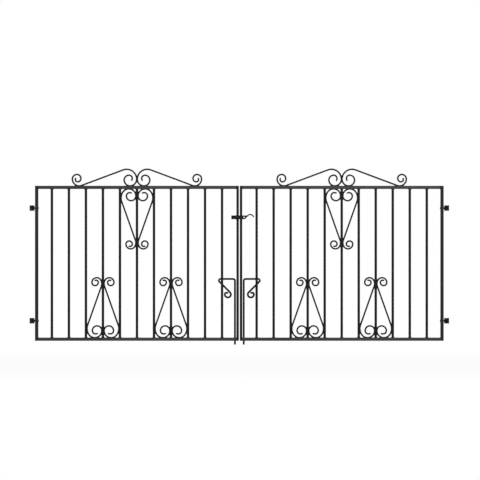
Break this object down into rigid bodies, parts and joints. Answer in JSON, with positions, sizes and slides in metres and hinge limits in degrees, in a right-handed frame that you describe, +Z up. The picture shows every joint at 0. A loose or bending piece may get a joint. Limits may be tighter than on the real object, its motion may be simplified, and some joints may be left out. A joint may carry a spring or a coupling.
{
  "type": "wrought iron driveway gate",
  "caption": "Pair of low black scrolled iron gate leaves on bracket hinges, closed by a lift latch, with a sliding drop bolt on each leaf.",
  "frame": {"origin": "middle of the flat back face of the lower left hinge bracket, where it meets the post", "axes": "+X along the closed gate to the right, +Y away from the latch side, +Z up"},
  "size_m": [2.215, 0.06, 0.9315],
  "materials": {
    "frame_paint": "satin black paint over welded steel bar",
    "fittings_paint": "satin black paint over forged fittings",
    "pin_steel": "black painted pins, rubbed where they turn"
  },
  "bodies": {
    "hinge_brackets": {"left_upper_hinge_bracket": "fittings_paint", "left_lower_hinge_bracket": "fittings_paint", "right_upper_hinge_bracket": "fittings_paint", "right_lower_hinge_bracket": "fittings_paint", "left_upper_hinge_pin": "pin_steel", "left_lower_hinge_pin": "pin_steel", "right_upper_hinge_pin": "pin_steel", "right_lower_hinge_pin": "pin_steel"},
    "left_leaf": {"left_hinge_stile": "frame_paint", "left_meeting_stile": "frame_paint", "left_top_rail": "frame_paint", "left_bottom_rail": "frame_paint", "left_bars": "frame_paint", "left_crest_scroll_outer": "frame_paint", "left_crest_scroll_inner": "frame_paint", "left_upper_scrolls": "frame_paint", "left_lower_scrolls_outer": "frame_paint", "left_lower_scrolls_inner": "frame_paint", "left_upper_hinge_eye": "frame_paint", "left_lower_hinge_eye": "frame_paint", "latch_bracket": "frame_paint", "latch_pivot": "pin_steel"},
    "right_leaf": {"right_hinge_stile": "frame_paint", "right_meeting_stile": "frame_paint", "right_top_rail": "frame_paint", "right_bottom_rail": "frame_paint", "right_bars": "frame_paint", "right_crest_scroll_outer": "frame_paint", "right_crest_scroll_inner": "frame_paint", "right_upper_scrolls": "frame_paint", "right_lower_scrolls_outer": "frame_paint", "right_lower_scrolls_inner": "frame_paint", "right_upper_hinge_eye": "frame_paint", "right_lower_hinge_eye": "frame_paint", "latch_keeper": "frame_paint"},
    "latch": {"latch_arm": "fittings_paint"},
    "left_bolt": {"left_drop_bolt": "fittings_paint"},
    "right_bolt": {"right_drop_bolt": "fittings_paint"}
  },
  "joints": [
    {"name": "left_leaf_swing", "type": "hinge", "parent": "hinge_brackets", "child": "left_leaf", "pos_m": [0.016, 0, 0], "axis": [0, 0, -1], "range_deg": [0, 90]},
    {"name": "right_leaf_swing", "type": "hinge", "parent": "hinge_brackets", "child": "right_leaf", "pos_m": [2.199, 0, 0], "axis": [0, 0, 1], "range_deg": [0, 90]},
    {"name": "latch_lift", "type": "hinge", "parent": "left_leaf", "child": "latch", "pos_m": [1.074, -0.0115, 0.547], "axis": [0, -1, 0], "range_deg": [0, 70]},
    {"name": "left_bolt_slide", "type": "slide", "parent": "left_leaf", "child": "left_bolt", "axis": [0, 0, 1], "range_m": [-0.1, 0.02]},
    {"name": "right_bolt_slide", "type": "slide", "parent": "right_leaf", "child": "right_bolt", "axis": [0, 0, 1], "range_m": [-0.1, 0.02]}
  ]
}
